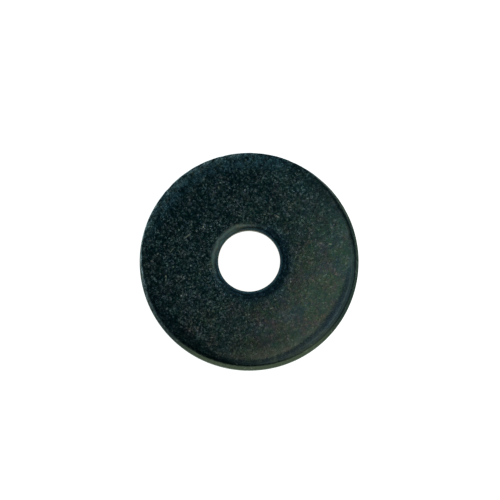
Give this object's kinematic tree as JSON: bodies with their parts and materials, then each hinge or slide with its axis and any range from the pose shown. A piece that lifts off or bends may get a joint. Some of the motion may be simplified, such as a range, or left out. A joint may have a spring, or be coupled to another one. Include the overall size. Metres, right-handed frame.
{
  "type": "flat washer",
  "caption": "Round flat washer with a small bolt hole and a wide bearing face, stamped from dark plated steel.",
  "frame": {"origin": "centre of the hole, in the plane of the lower face that the washer rests on", "axes": "+Z along the washer's axis, from the resting face to the face whose hole has a rounded edge; X and Y lie in the washer's plane and are alike"},
  "size_m": [0.0254, 0.0254, 0.002],
  "materials": {
    "plated_steel": "dark plated steel, satin, finely mottled from green-blue to brown, with brighter metal worn through at the edges"
  },
  "bodies": {
    "root": {"flat_washer": "plated_steel"}
  },
  "joints": []
}
